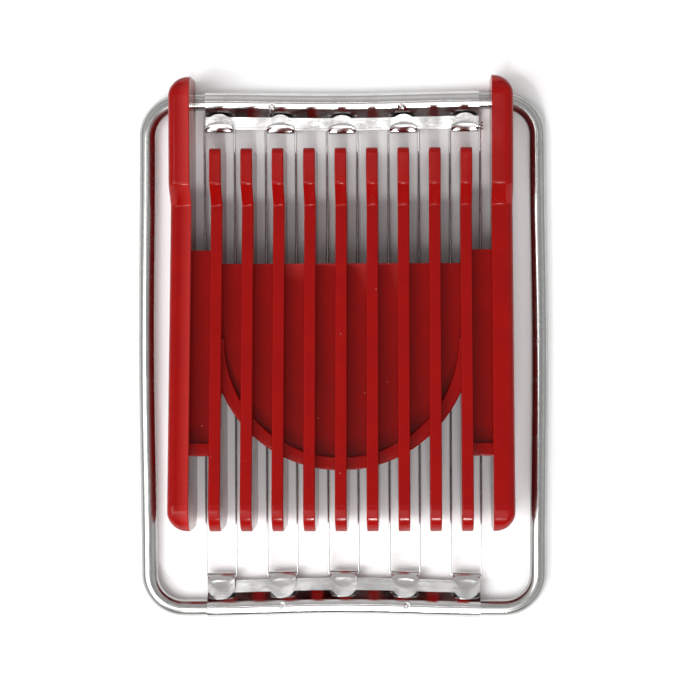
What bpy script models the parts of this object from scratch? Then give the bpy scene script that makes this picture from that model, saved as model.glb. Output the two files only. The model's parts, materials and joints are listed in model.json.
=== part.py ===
"""Folding egg slicer: a steel rod frame strung with cutting wires, hinged to a moulded egg holder.

The slicer lies closed and upside down, as it is stored: the rod frame and the open side of the egg holder
are on the table (z = 0) and the ribbed underside of the holder faces up. The origin is on the table at the
middle of the object, +X runs across it and +Y from the grip end to the hinge end. Sizes are in metres.

Every outline is drawn as (run, height): run is the distance from the hinge axis, or from the crossbar that
the piece belongs to, towards the middle of the frame, and height is the height above the table.
"""

import math

import bmesh
import bpy
from mathutils import Matrix, Vector
import numpy as np

# Egg holder: two rails, a comb of ribs and a sloping web plate, moulded in one
RIB_COUNT = 9
RIB_PITCH = 0.0064  # between the middles of two ribs, and between two wires
RIB_THICKNESS = 0.0024
RIB_EDGE = 0.00025
RAIL_GAP = 0.0052  # from the middle of the outermost rib to the rail
RAIL_WIDTH = 0.0044
RAIL_END_FLAT = 0.0002  # what is left of the rail's end between its rounded outer corner and its inner side
RAIL_OUTER_EDGE = 0.0016
RAIL_RIM_EDGE = 0.0008
RAIL_EDGE_SHARE = 0.45  # most of a thin end that one rounded edge may take
DIP_HEIGHT = 0.0104
HEEL_RISE = 0.0046  # of the hinge end above the dip
NOSE_RISE = 0.0117  # of the free end above the dip, before its corner is rounded
HEEL_LENGTH = 0.0070
DIP_SLOPE_RUN = 0.0042
NOSE_RADIUS = 0.0050
RAIL_END_RADIUS = 0.0040  # at the rails' hinge end
RIM_NOSE_RADIUS = 0.0045
BEND_RADIUS = 0.0012
DIP_RADIUS = 0.0007
SEAT_CLEARANCE = 0.0003
SEAT_WALL = 0.00245
SEAT_SNAP = 0.0005  # how much narrower than the rod the mouth of its seat is

# Rod frame: two U-shaped rods, end to end inside the sleeves
ROD_DIAMETER = 0.0035
FRAME_LENGTH = 0.1057  # between the axes of the two crossbars
CORNER_RADIUS = 0.0072
CORNER_IN_SEAT = 0.00175  # how far inside the rail's outer face the corner starts
SIDE_BOW = 0.0004  # how far each side bows outward at its middle
HINGE_BAR_BOW = 0.0004  # how far each crossbar bows inward at its middle
GRIP_BAR_BOW = 0.0006
ROD_END_GAP = 0.002

# Sleeves: sheet folded round the crossbar, its two edges flat together as a flange
SHEET = 0.0003
SLEEVE_CLEARANCE = 0.00008
SLEEVE_END_GAP = 0.0023  # from each end to the rail
FLANGE_NECK = 0.00087
FLANGE_WIDTH = 0.0026
FLANGE_STEP = 0.00045  # how much shorter the upper layer is
FLANGE_DROP = 0.0003  # seam below the height of the rod's axis
LAYER_GAP = 0.00003
DIMPLE_RADIUS = 0.0006
DIMPLE_DEPTH = 0.0002
HINGE_DIMPLES = (-0.0146, 0.0124)
GRIP_DIMPLES = (-0.0130, 0.0130)
HINGE_DIMPLE_LEAN = math.radians(28)  # from the crest of the sleeve towards the middle of the frame
GRIP_DIMPLE_LEAN = math.radians(7)

# Cutting wires: one tight loop to each pair of tabs
WIRE_DIAMETER = 0.0004
WIRE_CORNER = 0.0003
WIRE_TAB_GAP = 0.0001

# Tabs: tongues of the sleeve's lower layer, hooked back over the wires, one for every second rib
TAB_MARGIN = 0.0007  # how much narrower than the rib pitch a tab is
TAB_SHEET = 0.00028
HOOK_RADIUS = 0.0006
HINGE_TAB_REACH = 0.0008  # of the fold past the flange
GRIP_TAB_REACH = 0.0017
TAB_CREASE = 0.0013  # from the fold to the flat of the tongue
TONGUE_TIP_GAP = 0.00007  # from the tube to the tongue's tip
TONGUE_RISE = 0.0004
TONGUE_STEP = SHEET / 3  # least run between two points of a tongue

# Gaps along the holder
RIB_END_GAP = 0.0040  # from the tabs' fold at the hinge end to the ribs
HOLDER_END_GAP = 0.0099  # from the ribs' free ends to the tabs' fold at the grip end

# Web plate and its wall
PLATE_ANGLE = math.radians(7.5)  # lies along the wires when they are pressed right through
PLATE_SIDE_GAP = 0.0092  # from the bottom of the dip to the plate beside the rails
PLATE_STEP = 0.0028  # how much later the plate starts between the ribs
PLATE_DROP = 0.0032  # of its rim side below the dip, where it starts
PLATE_THICKNESS = 0.0020
WALL_PROUD = 0.0018
WALL_THICKNESS = 0.0027
ARC_MARGIN = 0.0011  # how much further out than the outermost rib the arc would reach
ARC_END_GAP = 0.0391  # from the arc's centre to the ribs' free ends
SIDE_WALL_GAP = 0.0153  # from the side walls' outer faces to the ribs' free ends
JOIN_OVERLAP = 0.0004

# Egg cup: the hollow that an egg lies in, long axis across the wires
CUP_END_GAP = 0.0355  # from its centre to the ribs' free ends
CUP_DEPTH = 0.0080
CUP_ROUND_RADIUS = 0.0230
CUP_MARGIN = 0.0002  # how far the egg's long axis would reach into the rails

# Derived sizes
ROD_RADIUS = ROD_DIAMETER / 2
WIRE_RADIUS = WIRE_DIAMETER / 2
SLEEVE_BORE = ROD_RADIUS + SLEEVE_CLEARANCE
SLEEVE_RADIUS = SLEEVE_BORE + SHEET
AXIS_HEIGHT = SLEEVE_RADIUS
SEAM_HEIGHT = AXIS_HEIGHT - FLANGE_DROP
LAYER_OFFSET = (SHEET + LAYER_GAP) / 2
WIRE_HEIGHT = SEAM_HEIGHT - LAYER_OFFSET + HOOK_RADIUS
FLANGE_ROOT = SLEEVE_RADIUS + FLANGE_NECK
FLANGE_EDGE = FLANGE_ROOT + FLANGE_WIDTH
TAB_COUNT = (RIB_COUNT + 1) // 2
TAB_PITCH = 2 * RIB_PITCH
TAB_WIDTH = RIB_PITCH - TAB_MARGIN
STRAND_OFFSET = TAB_WIDTH / 2 + WIRE_TAB_GAP + WIRE_RADIUS
HINGE_TAB_FOLD = FLANGE_EDGE + HINGE_TAB_REACH
GRIP_TAB_FOLD = FLANGE_EDGE + GRIP_TAB_REACH
TONGUE_TIP = SLEEVE_RADIUS + TONGUE_TIP_GAP
OUTER_RIB = RIB_PITCH * (RIB_COUNT - 1) / 2
RAIL_INNER = OUTER_RIB + RAIL_GAP
RAIL_OUTER = RAIL_INNER + RAIL_WIDTH
RAIL_PLAN_RADIUS = RAIL_WIDTH - RAIL_END_FLAT
BEND_START = RAIL_OUTER - CORNER_IN_SEAT
FRAME_WIDTH = 2 * (BEND_START + CORNER_RADIUS)  # between the axes of the two sides, at their ends
STRAIGHT_BAR = RAIL_INNER  # the crossbars are straight from here outward, where the rails turn on one
SLEEVE_HALF_LENGTH = RAIL_INNER - SLEEVE_END_GAP
SEAT_RADIUS = ROD_RADIUS + SEAT_CLEARANCE
SEAT_MOUTH = ROD_DIAMETER - SEAT_SNAP
RAIL_OVERHANG = SEAT_RADIUS + SEAT_WALL  # how far the rails run on past the hinge axis
RIB_START = HINGE_TAB_FOLD + RIB_END_GAP
HOLDER_REACH = FRAME_LENGTH - GRIP_TAB_FOLD - HOLDER_END_GAP
HEEL_HEIGHT = DIP_HEIGHT + HEEL_RISE
NOSE_HEIGHT = DIP_HEIGHT + NOSE_RISE
HEEL_END = RIB_START + HEEL_LENGTH
DIP_START = HEEL_END + DIP_SLOPE_RUN
PLATE_SIDE_START = DIP_START + PLATE_SIDE_GAP
PLATE_START = PLATE_SIDE_START + PLATE_STEP
PLATE_RIM_HEIGHT = DIP_HEIGHT - PLATE_DROP
ARC_CENTRE = HOLDER_REACH - ARC_END_GAP
ARC_RADIUS = OUTER_RIB + ARC_MARGIN
SIDE_WALL_END = HOLDER_REACH - SIDE_WALL_GAP
CUP_CENTRE = HOLDER_REACH - CUP_END_GAP
CUP_LONG_RADIUS = RAIL_INNER + CUP_MARGIN
HINGE_Y = (FRAME_LENGTH + SLEEVE_RADIUS - RAIL_OVERHANG) / 2
GRIP_Y = HINGE_Y - FRAME_LENGTH

# Facets and finish
ARC_STEP = math.radians(18)
ROD_SIDES_SETTING = 4  # a bevel resolution, which gives 12 sides
WIRE_SIDES_SETTING = 2
BAR_STEPS = 8
CORNER_STEPS = 6
ARC_STEPS = 20
BALL_SEGMENTS = 16
SEAT_SEGMENTS = 32
STATION_STEP = 0.00005  # least run between two sections of a rail
SAME_POINT = 0.000001
SHARP_ANGLE = math.radians(35)
MARKER_SIZE = 0.01


class Bar:
    """One crossbar of the frame: its place, which way the middle of the frame lies, and its bow."""

    def __init__(self, y, inward, bow, fold, dimples, lean):
        self.y = y
        self.inward = inward
        self.bow = bow
        self.fold = fold
        self.dimples = dimples
        self.lean = lean

    def bow_at(self, x):
        if abs(x) >= STRAIGHT_BAR:
            return 0.0
        return self.bow * math.cos(math.pi * x / (2 * STRAIGHT_BAR)) ** 2

    def point(self, x, run, height):
        return Vector((x, self.y + self.inward * (run + self.bow_at(x)), height))


HINGE_BAR = Bar(HINGE_Y, -1, HINGE_BAR_BOW, HINGE_TAB_FOLD, HINGE_DIMPLES, HINGE_DIMPLE_LEAN)
GRIP_BAR = Bar(GRIP_Y, 1, GRIP_BAR_BOW, GRIP_TAB_FOLD, GRIP_DIMPLES, GRIP_DIMPLE_LEAN)


# Scene helpers


def clear_scene():
    for obj in list(bpy.data.objects):
        bpy.data.objects.remove(obj, do_unlink=True)


def new_collection(name):
    collection = bpy.data.collections.new(name)
    bpy.context.scene.collection.children.link(collection)
    return collection


def material(name, colour, roughness, metallic):
    """A plain surface of the given linear colour."""
    made = bpy.data.materials.new(name)
    made.use_nodes = True
    shader = made.node_tree.nodes["Principled BSDF"]
    shader.inputs["Base Color"].default_value = (*colour, 1)
    shader.inputs["Roughness"].default_value = roughness
    shader.inputs["Metallic"].default_value = metallic
    return made


def mesh_object(name, mesh, collection):
    obj = bpy.data.objects.new(name, mesh)
    collection.objects.link(obj)
    return obj


def curve_to_mesh(curve_obj):
    """Replaces a curve object by a welded mesh object of the same name, in the same collection."""
    name = curve_obj.name
    collection = curve_obj.users_collection[0]
    bpy.context.view_layer.update()
    graph = bpy.context.evaluated_depsgraph_get()
    mesh = bpy.data.meshes.new_from_object(curve_obj.evaluated_get(graph))
    mesh.transform(curve_obj.matrix_world)
    bpy.data.objects.remove(curve_obj, do_unlink=True)
    body = bmesh.new()
    body.from_mesh(mesh)
    bmesh.ops.remove_doubles(body, verts=body.verts, dist=SAME_POINT)
    bmesh.ops.recalc_face_normals(body, faces=body.faces)
    body.to_mesh(mesh)
    body.free()
    return mesh_object(name, mesh, collection)


def apply_modifiers(obj):
    """Turns an object's evaluated shape into its own mesh."""
    bpy.context.view_layer.update()
    graph = bpy.context.evaluated_depsgraph_get()
    mesh = bpy.data.meshes.new_from_object(obj.evaluated_get(graph))
    obj.modifiers.clear()
    obj.data = mesh


def combine(obj, other, operation):
    boolean = obj.modifiers.new(operation.lower() + "_" + other.name, "BOOLEAN")
    boolean.solver = "EXACT"
    boolean.operation = operation
    boolean.object = other


def finish(obj, surface, origin, parent):
    """Gives a piece its material and smooth shading, and moves its origin without moving its shape."""
    obj.data.transform(Matrix.Translation(-origin))
    obj.location = origin - parent.location
    obj.parent = parent
    obj.data.materials.clear()
    obj.data.materials.append(surface)
    obj.data.shade_smooth()
    obj.data.set_sharp_from_angle(angle=SHARP_ANGLE)


# Outline helpers


def arc(centre, radius, start, end):
    """Points on an arc in the (run, height) plane, both ends included."""
    steps = max(2, math.ceil(abs(end - start) / ARC_STEP))
    angles = np.linspace(start, end, steps + 1)
    return [(centre[0] + radius * math.cos(a), centre[1] + radius * math.sin(a)) for a in angles]


def rounded(corners):
    """An open or closed run of (x, y, radius) corners, with each radius above zero turned into an arc."""
    points = []
    count = len(corners)
    for i, (x, y, radius) in enumerate(corners):
        here = Vector((x, y))
        if radius <= 0:
            points.append((x, y))
            continue
        back = (Vector(corners[i - 1][:2]) - here).normalized()
        ahead = (Vector(corners[(i + 1) % count][:2]) - here).normalized()
        half = back.angle(ahead) / 2
        centre = here + (back + ahead).normalized() * radius / math.sin(half)
        start = here + back * radius / math.tan(half) - centre
        end = here + ahead * radius / math.tan(half) - centre
        first = math.atan2(start.y, start.x)
        turn = (math.atan2(end.y, end.x) - first + math.pi) % (2 * math.pi) - math.pi
        points += arc(centre, radius, first, first + turn)
    return points


def offset_path(path, distance):
    """The path moved sideways to its left, with mitred corners."""
    points = [Vector(p) for p in path]
    moved = []
    for i, point in enumerate(points):
        before = (point - points[i - 1]).normalized() if i else None
        after = (points[i + 1] - point).normalized() if i + 1 < len(points) else None
        before = before or after
        after = after or before
        left_before = Vector((-before.y, before.x))
        left_after = Vector((-after.y, after.x))
        mitre = (left_before + left_after).normalized()
        moved.append(point + mitre * distance / mitre.dot(left_after))
    return moved


def closed_tube_outline(path, thickness):
    """The closed outline of a strip of this thickness that follows the path."""
    return offset_path(path, thickness / 2) + offset_path(path, -thickness / 2)[::-1]


# Solid helpers


def loft(name, rings, collection):
    """A closed body through a row of rings of points, each ring with the same number of points."""
    body = bmesh.new()
    loops = [[body.verts.new(p) for p in ring] for ring in rings]
    for first, second in zip(loops, loops[1:]):
        count = len(first)
        for i in range(count):
            j = (i + 1) % count
            body.faces.new((first[i], first[j], second[j], second[i]))
    body.faces.new(loops[0])
    body.faces.new(loops[-1])
    bmesh.ops.recalc_face_normals(body, faces=body.faces)
    mesh = bpy.data.meshes.new(name)
    body.to_mesh(mesh)
    body.free()
    return mesh_object(name, mesh, collection)


def flat_curve(name, outline, thickness, edge, collection):
    """A closed flat outline, extruded about its own plane, with its edges rounded by the given radius."""
    curve = bpy.data.curves.new(name, "CURVE")
    curve.dimensions = "2D"
    curve.fill_mode = "BOTH"
    curve.extrude = thickness / 2 - edge
    curve.bevel_depth = edge
    curve.bevel_resolution = 0
    curve.offset = -edge
    spline = curve.splines.new("POLY")
    spline.points.add(len(outline) - 1)
    for point, (x, y) in zip(spline.points, outline):
        point.co = (x, y, 0, 1)
    spline.use_cyclic_u = True
    return mesh_object(name, curve, collection)


def upright_slab(name, outline, x, thickness, edge, collection):
    """A (run, height) outline standing across the frame at x, its runs measured from the hinge axis."""
    obj = flat_curve(name, outline, thickness, edge, collection)
    across = Matrix(((0, 0, -1), (-1, 0, 0), (0, 1, 0))).to_4x4()
    obj.matrix_world = Matrix.Translation((x, HINGE_Y, 0)) @ across
    return curve_to_mesh(obj)


def sloping_slab(name, outline, low, thickness, collection):
    """An (x, run) outline laid along the plate's slope, low being its rim side's height at PLATE_START."""
    obj = curve_to_mesh(flat_curve(name, outline, thickness, 0, collection))
    slope = math.tan(PLATE_ANGLE)
    for vertex in obj.data.vertices:
        x, run, rise = vertex.co
        height = low + thickness / 2 + rise + (run - PLATE_START) * slope
        vertex.co = (x, HINGE_Y - run, height)
    obj.data.flip_normals()
    return obj


def wire_curve(name, points, radius, sides_setting, cyclic, collection):
    """A round rod or wire along straight steps between points."""
    curve = bpy.data.curves.new(name, "CURVE")
    curve.dimensions = "3D"
    curve.bevel_depth = radius
    curve.bevel_resolution = sides_setting
    curve.use_fill_caps = not cyclic
    spline = curve.splines.new("POLY")
    spline.points.add(len(points) - 1)
    for point, place in zip(spline.points, points):
        point.co = (*place, 1)
    spline.use_cyclic_u = cyclic
    return curve_to_mesh(mesh_object(name, curve, collection))


# Rod frame


def crossbar_path(bar, side):
    """From the gap at the middle of a crossbar out to where its corner starts."""
    xs = np.linspace(ROD_END_GAP / 2, BEND_START, BAR_STEPS)
    return [bar.point(side * x, 0, AXIS_HEIGHT) for x in xs]


def corner_path(bar, side):
    """The corner between a crossbar and a side, without the points that it shares with them."""
    turns = np.linspace(0, math.pi / 2, CORNER_STEPS + 1)[1:]
    return [
        Vector(
            (
                side * (BEND_START + CORNER_RADIUS * math.sin(a)),
                bar.y + bar.inward * CORNER_RADIUS * (1 - math.cos(a)),
                AXIS_HEIGHT,
            )
        )
        for a in turns
    ]


def side_path(side):
    """The slightly bowed side between two corners, without its ends."""
    reach = FRAME_LENGTH / 2 - CORNER_RADIUS
    middle = (HINGE_Y + GRIP_Y) / 2
    path = []
    for v in np.linspace(reach, -reach, BAR_STEPS + 1)[1:-1]:
        bow = SIDE_BOW * math.cos(math.pi * v / (2 * reach)) ** 2
        path.append(Vector((side * (FRAME_WIDTH / 2 + bow), middle + v, AXIS_HEIGHT)))
    return path


def frame_rod(name, side, collection):
    path = crossbar_path(HINGE_BAR, side) + corner_path(HINGE_BAR, side) + side_path(side)
    path += (crossbar_path(GRIP_BAR, side) + corner_path(GRIP_BAR, side))[::-1]
    return wire_curve(name, path, ROD_RADIUS, ROD_SIDES_SETTING, False, collection)


# Sleeves


def sleeve_path():
    """The middle of the sheet, from the edge of the lower layer round the rod to that of the upper."""
    centre = Vector((0, AXIS_HEIGHT))
    radius = SLEEVE_BORE + SHEET / 2
    lower = SEAM_HEIGHT - LAYER_OFFSET
    upper = SEAM_HEIGHT + LAYER_OFFSET
    ends = []
    for height, way in ((lower, -1), (upper, 1)):
        root = Vector((FLANGE_ROOT, height)) - centre
        lean = math.atan2(root.y, root.x)
        ends.append(lean + way * math.acos(radius / root.length))
    wrap = arc(centre, radius, ends[0], ends[1] - 2 * math.pi)
    return [(FLANGE_EDGE, lower), (FLANGE_ROOT, lower)] + wrap + [
        (FLANGE_ROOT, upper),
        (FLANGE_EDGE - FLANGE_STEP, upper),
    ]


def sleeve_body(name, bar, collection):
    outline = closed_tube_outline(sleeve_path(), SHEET)
    stations = np.linspace(-SLEEVE_HALF_LENGTH, SLEEVE_HALF_LENGTH, BAR_STEPS + 1)
    rings = [[bar.point(x, run, height) for run, height in outline] for x in stations]
    return loft(name, rings, collection)


def tab_path(bar):
    """The middle of a tab's sheet: out from the lower layer, round the hook and back to the tongue's tip."""
    lower = SEAM_HEIGHT - LAYER_OFFSET
    hook = (hook_centre(bar), WIRE_HEIGHT)
    turn = arc(hook, HOOK_RADIUS, -math.pi / 2, math.pi / 2)
    flat = WIRE_HEIGHT + HOOK_RADIUS + TONGUE_RISE
    path = [(FLANGE_EDGE - 2 * FLANGE_STEP, lower)] + turn
    round_start = TONGUE_TIP + TAB_WIDTH / 2
    path.append((min(bar.fold - TAB_CREASE, hook[0] - SHEET), flat))
    for a in quarter(6)[:-1]:
        run = round_start - TAB_WIDTH / 2 * math.sin(a)
        if run < path[-1][0] - TONGUE_STEP:
            path.append((run, flat))
    path.append((TONGUE_TIP, flat))
    return path


def hook_centre(bar):
    return bar.fold - HOOK_RADIUS - TAB_SHEET / 2


def tab_half_width(run, on_tongue):
    """Half the tab's width, which falls to its round tip as half a circle."""
    half = TAB_WIDTH / 2
    into = TONGUE_TIP + half - run
    if not on_tongue or into <= 0:
        return half
    return max(math.sqrt(max(half**2 - into**2, 0)), SHEET)


def tab(name, bar, x, collection):
    path = tab_path(bar)
    above = offset_path(path, TAB_SHEET / 2)
    below = offset_path(path, -TAB_SHEET / 2)
    rings = []
    for i, (run, height) in enumerate(path):
        half = tab_half_width(run, height > WIRE_HEIGHT)
        rings.append(
            [
                bar.point(x - half, *above[i]),
                bar.point(x + half, *above[i]),
                bar.point(x + half, *below[i]),
                bar.point(x - half, *below[i]),
            ]
        )
    return loft(name, rings, collection)


def dimple(name, bar, x, collection):
    """A small ball that presses a staking mark into the sleeve over one of the rods."""
    bpy.ops.mesh.primitive_uv_sphere_add(
        segments=BALL_SEGMENTS, ring_count=BALL_SEGMENTS // 2, radius=DIMPLE_RADIUS
    )
    ball = bpy.context.object
    ball.name = name
    reach = SLEEVE_RADIUS - DIMPLE_DEPTH + DIMPLE_RADIUS
    run = reach * math.sin(bar.lean)
    ball.location = bar.point(x, run, AXIS_HEIGHT + reach * math.cos(bar.lean))
    for old in list(ball.users_collection):
        old.objects.unlink(ball)
    collection.objects.link(ball)
    return ball


def tab_centres():
    return [TAB_PITCH * (i - (TAB_COUNT - 1) / 2) for i in range(TAB_COUNT)]


def sleeve(name, bar, parts, cutters):
    body = sleeve_body(name, bar, parts)
    helpers = []
    for number, x in enumerate(tab_centres(), 1):
        helpers.append(tab(f"{name}_tab_{number}", bar, x, cutters))
        combine(body, helpers[-1], "UNION")
    for number, x in enumerate(bar.dimples, 1):
        helpers.append(dimple(f"{name}_dimple_{number}", bar, x, cutters))
        combine(body, helpers[-1], "DIFFERENCE")
    apply_modifiers(body)
    for helper in helpers:
        bpy.data.objects.remove(helper, do_unlink=True)
    return body


# Cutting wires


def wire_end(bar, x):
    """The wire's turn through a hook, from its -X strand to its +X strand."""
    run = hook_centre(bar)
    straight = STRAND_OFFSET - WIRE_CORNER
    bends = quarter(3)
    rim = [(straight + WIRE_CORNER * math.cos(a), run + WIRE_CORNER * (1 - math.sin(a))) for a in bends]
    left = [bar.point(x - across, along, WIRE_HEIGHT) for across, along in rim]
    right = [bar.point(x + across, along, WIRE_HEIGHT) for across, along in rim[::-1]]
    return left + [bar.point(x, run, WIRE_HEIGHT)] + right


def wire_loop(name, x, collection):
    path = wire_end(HINGE_BAR, x) + wire_end(GRIP_BAR, x)[::-1]
    return wire_curve(name, path, WIRE_RADIUS, WIRE_SIDES_SETTING, True, collection)


# Egg holder


def underside_corners(start):
    """The holder's upper edge in the (run, height) plane, from its hinge end to its nose."""
    return [
        (start, HEEL_HEIGHT, BEND_RADIUS),
        (HEEL_END, HEEL_HEIGHT, BEND_RADIUS),
        (DIP_START, DIP_HEIGHT, DIP_RADIUS),
        (HOLDER_REACH, NOSE_HEIGHT, NOSE_RADIUS),
    ]


def cup_arc(x):
    """The hollow's edge in a rib at x, from its far side to its near side, or nothing outside the cup."""
    reach = 1 - (x / CUP_LONG_RADIUS) ** 2
    centre_height = CUP_DEPTH - CUP_ROUND_RADIUS
    if reach <= 0:
        return []
    radius = CUP_ROUND_RADIUS * math.sqrt(reach)
    if radius <= -centre_height + RIB_EDGE:
        return []
    edge = math.asin(-centre_height / radius)
    return arc((CUP_CENTRE, centre_height), radius, edge, math.pi - edge)


def rib_outline(x):
    rim = [(HOLDER_REACH, 0, RIM_NOSE_RADIUS)]
    rim += [(run, height, 0) for run, height in cup_arc(x)]
    rim.append((RIB_START, 0, BEND_RADIUS))
    return rounded(underside_corners(RIB_START) + rim)


def rib(name, x, collection):
    return upright_slab(name, rib_outline(x), x, RIB_THICKNESS, RIB_EDGE, collection)


def rail_edges():
    """The rail's upper and lower edges, each as points in order of run."""
    start = -RAIL_OVERHANG
    corners = underside_corners(start)
    corners[0] = (start, HEEL_HEIGHT, RAIL_END_RADIUS)
    corners += [(HOLDER_REACH, 0, RIM_NOSE_RADIUS), (start, 0, BEND_RADIUS)]
    outline = rounded(corners)
    split = [i for i, p in enumerate(outline) if abs(p[0] - HOLDER_REACH) < SAME_POINT]
    upper = outline[: split[0] + 1]
    lower = outline[split[-1] :][::-1]
    return upper, lower


def rail_width_at(run):
    """The rail's width, which its outer corners round off at both ends."""
    into = min(run + RAIL_OVERHANG, HOLDER_REACH - run)
    into = min(max(into, 0), RAIL_PLAN_RADIUS)
    quarter = math.sqrt(RAIL_PLAN_RADIUS**2 - (RAIL_PLAN_RADIUS - into) ** 2)
    return RAIL_WIDTH - RAIL_PLAN_RADIUS + quarter


def rail_ring(side, run, low, high):
    """One upright section of a rail: square on its inner side, rounded on its outer side."""
    width = rail_width_at(run)
    limit = min(width, high - low) * RAIL_EDGE_SHARE
    top = min(RAIL_OUTER_EDGE, limit)
    foot = min(RAIL_RIM_EDGE, limit)
    outer = RAIL_INNER + width
    foot_arc = [(outer - foot + foot * math.sin(a), low + foot - foot * math.cos(a)) for a in quarter(2)]
    top_arc = [(outer - top + top * math.cos(a), high - top + top * math.sin(a)) for a in quarter(3)]
    section = [(RAIL_INNER, low)] + foot_arc + top_arc + [(RAIL_INNER, high)]
    return [Vector((side * x, HINGE_Y - run, height)) for x, height in section]


def quarter(steps):
    return np.linspace(0, math.pi / 2, steps + 1)


def rail_stations(upper, lower):
    """Where the rail's sections stand: at each corner point of its edges and along its rounded ends."""
    runs = [run for run, _ in upper + lower]
    for a in quarter(6):
        into = RAIL_PLAN_RADIUS * (1 - math.cos(a))
        runs += [into - RAIL_OVERHANG, HOLDER_REACH - into]
    kept = []
    for run in sorted(runs):
        if not kept or run - kept[-1] > STATION_STEP:
            kept.append(run)
    kept[-1] = HOLDER_REACH
    return kept


def rail(name, side, collection):
    upper, lower = rail_edges()
    rings = []
    for run in rail_stations(upper, lower):
        high = np.interp(run, *zip(*upper))
        low = np.interp(run, *zip(*lower))
        if run == -RAIL_OVERHANG:
            high, low = upper[0][1], lower[0][1]
        if run == HOLDER_REACH:
            high, low = upper[-1][1], lower[-1][1]
        rings.append(rail_ring(side, run, low, high))
    return loft(name, rings, collection)


def arc_edge(radius):
    """An edge round ARC_CENTRE from one outermost rib to the other, as (x, run) points."""
    half = math.asin(OUTER_RIB / radius)
    angles = np.linspace(half, -half, ARC_STEPS + 1)
    return [(radius * math.sin(a), ARC_CENTRE + radius * math.cos(a)) for a in angles]


def plate_outline():
    side = RAIL_INNER + JOIN_OVERLAP
    right = [
        (OUTER_RIB, PLATE_START),
        (OUTER_RIB, PLATE_SIDE_START),
        (side, PLATE_SIDE_START),
        (side, SIDE_WALL_END),
        (OUTER_RIB, SIDE_WALL_END),
    ]
    left = [(-x, run) for x, run in right[::-1]]
    return right + arc_edge(ARC_RADIUS) + left


def wall_outline():
    """The raised wall along the plate's free edge: an arc between two short straights."""
    side = RAIL_INNER + JOIN_OVERLAP
    inner = ARC_RADIUS - WALL_THICKNESS
    angles = np.linspace(-math.pi / 2, math.pi / 2, ARC_STEPS + 1)
    back = [(inner * math.sin(a), ARC_CENTRE + inner * math.cos(a)) for a in angles]
    straight = [
        (OUTER_RIB, back[-1][1]),
        (OUTER_RIB, SIDE_WALL_END - WALL_THICKNESS),
        (side, SIDE_WALL_END - WALL_THICKNESS),
        (side, SIDE_WALL_END),
        (OUTER_RIB - JOIN_OVERLAP, SIDE_WALL_END),
    ]
    mirrored = [(-x, run) for x, run in straight[::-1]]
    outer = [p for p in arc_edge(ARC_RADIUS) if abs(p[0]) < OUTER_RIB - 2 * JOIN_OVERLAP]
    near = (OUTER_RIB - JOIN_OVERLAP, outer[0][1])
    return back + straight + [near] + outer + [(-near[0], near[1])] + mirrored


def web_plate(cutters):
    plate = sloping_slab("web_plate", plate_outline(), PLATE_RIM_HEIGHT, PLATE_THICKNESS, cutters)
    low = PLATE_RIM_HEIGHT + PLATE_THICKNESS / 2
    height = PLATE_THICKNESS / 2 + WALL_PROUD
    wall = sloping_slab("plate_wall", wall_outline(), low, height, cutters)
    return plate, wall


def hinge_seats(cutters):
    """Cutters for the round seats that the rod turns in and for their mouths at the rim."""
    bpy.ops.mesh.primitive_cylinder_add(
        vertices=SEAT_SEGMENTS, radius=SEAT_RADIUS, depth=3 * RAIL_OUTER
    )
    bore = bpy.context.object
    bore.name = "seat_bore"
    bore.rotation_euler = (0, math.pi / 2, 0)
    bore.location = (0, HINGE_Y, AXIS_HEIGHT)
    bpy.ops.mesh.primitive_cube_add(size=1)
    mouth = bpy.context.object
    mouth.name = "seat_mouth"
    mouth.scale = (3 * RAIL_OUTER, SEAT_MOUTH, 2 * AXIS_HEIGHT)
    mouth.location = (0, HINGE_Y, 0)
    for cutter in (bore, mouth):
        for old in list(cutter.users_collection):
            old.objects.unlink(cutter)
        cutters.objects.link(cutter)
    return bore, mouth


def egg_holder(parts, cutters):
    holder = rail("egg_holder", -1, parts)
    joined = [rail("right_rail", 1, cutters), *web_plate(cutters)]
    for i in range(RIB_COUNT):
        x = RIB_PITCH * (i - (RIB_COUNT - 1) / 2)
        joined.append(rib(f"rib_{i + 1}", x, cutters))
    cut = hinge_seats(cutters)
    order = [joined[1], joined[0], *joined[2:]]
    for piece in order:
        combine(holder, piece, "UNION")
    for cutter in cut:
        combine(holder, cutter, "DIFFERENCE")
    apply_modifiers(holder)
    for helper in [*joined, *cut]:
        bpy.data.objects.remove(helper, do_unlink=True)
    return holder


def empty(name, place, collection):
    marker = bpy.data.objects.new(name, None)
    marker.empty_display_size = MARKER_SIZE
    marker.location = place
    collection.objects.link(marker)
    return marker


def main():
    clear_scene()
    parts = new_collection("egg_slicer")
    cutters = new_collection("egg_slicer_cutters")
    cutters.hide_render = True

    steel = material("polished_steel", (0.62, 0.61, 0.60), 0.16, 1.0)
    rod_steel = material("rod_steel", (0.60, 0.60, 0.58), 0.22, 1.0)
    wire_steel = material("wire_steel", (0.55, 0.55, 0.55), 0.25, 1.0)
    red = material("red_plastic", (0.36, 0.008, 0.006), 0.32, 0.0)

    frame = empty("wire_frame", Vector((0, 0, 0)), parts)
    hinge = empty("holder_hinge", Vector((0, HINGE_Y, AXIS_HEIGHT)), parts)
    at_origin = Vector((0, 0, 0))

    finish(frame_rod("left_frame_rod", -1, parts), rod_steel, at_origin, frame)
    finish(frame_rod("right_frame_rod", 1, parts), rod_steel, at_origin, frame)
    finish(sleeve("hinge_sleeve", HINGE_BAR, parts, cutters), steel, at_origin, frame)
    finish(sleeve("grip_sleeve", GRIP_BAR, parts, cutters), steel, at_origin, frame)
    for number, x in enumerate(tab_centres(), 1):
        finish(wire_loop(f"wire_loop_{number}", x, parts), wire_steel, at_origin, frame)
    finish(egg_holder(parts, cutters), red, hinge.location.copy(), hinge)


main()
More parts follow.
